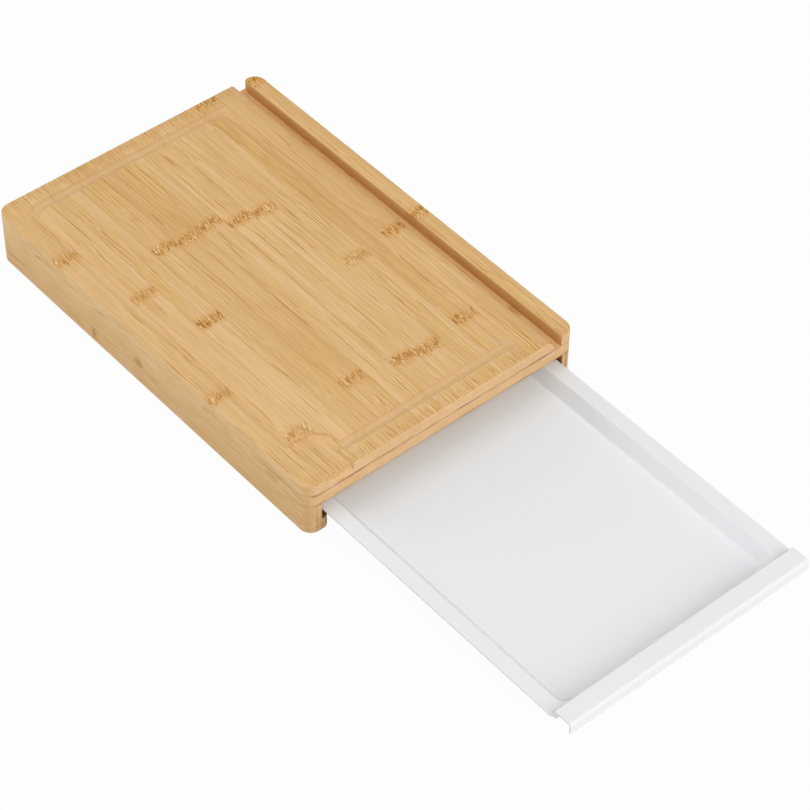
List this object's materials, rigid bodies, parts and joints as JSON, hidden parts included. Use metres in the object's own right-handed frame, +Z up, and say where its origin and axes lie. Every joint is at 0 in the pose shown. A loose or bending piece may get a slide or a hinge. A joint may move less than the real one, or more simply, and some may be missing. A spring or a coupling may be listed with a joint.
{
  "type": "cutting board with sliding tray",
  "caption": "Bamboo cutting board on side rails with a juice groove, corner spout and device slot, and a shallow white tray that slides out from under it",
  "frame": {"origin": "on the table under the middle of the whole object with its tray pulled out as in the rest pose", "axes": "+X along the board and out of the mouth, the way the tray pulls out; +Y across the board towards the slot; +Z up out of the cutting surface"},
  "size_m": [0.638, 0.255, 0.051],
  "materials": {
    "bamboo_board": "oiled, fine-sanded bamboo strips along the board",
    "bamboo_rail": "oiled, fine-sanded bamboo, a little browner",
    "tray_plastic": "white, satin",
    "foot_rubber": "matte"
  },
  "bodies": {
    "board": {"top_board": "bamboo_board", "deck": "bamboo_board", "slot_strip": "bamboo_board", "left_leg": "bamboo_rail", "left_upstand": "bamboo_rail", "left_ledge": "bamboo_rail", "right_leg": "bamboo_rail", "right_upstand": "bamboo_rail", "right_ledge": "bamboo_rail", "end_rail": "bamboo_rail", "foot_back_left": "foot_rubber", "foot_back_right": "foot_rubber", "foot_mouth_left": "foot_rubber", "foot_mouth_right": "foot_rubber"},
    "tray": {"tray": "tray_plastic"}
  },
  "joints": [
    {"name": "tray_slide", "type": "slide", "parent": "board", "child": "tray", "axis": [1, 0, 0], "range_m": [-0.258, 0.075]}
  ]
}
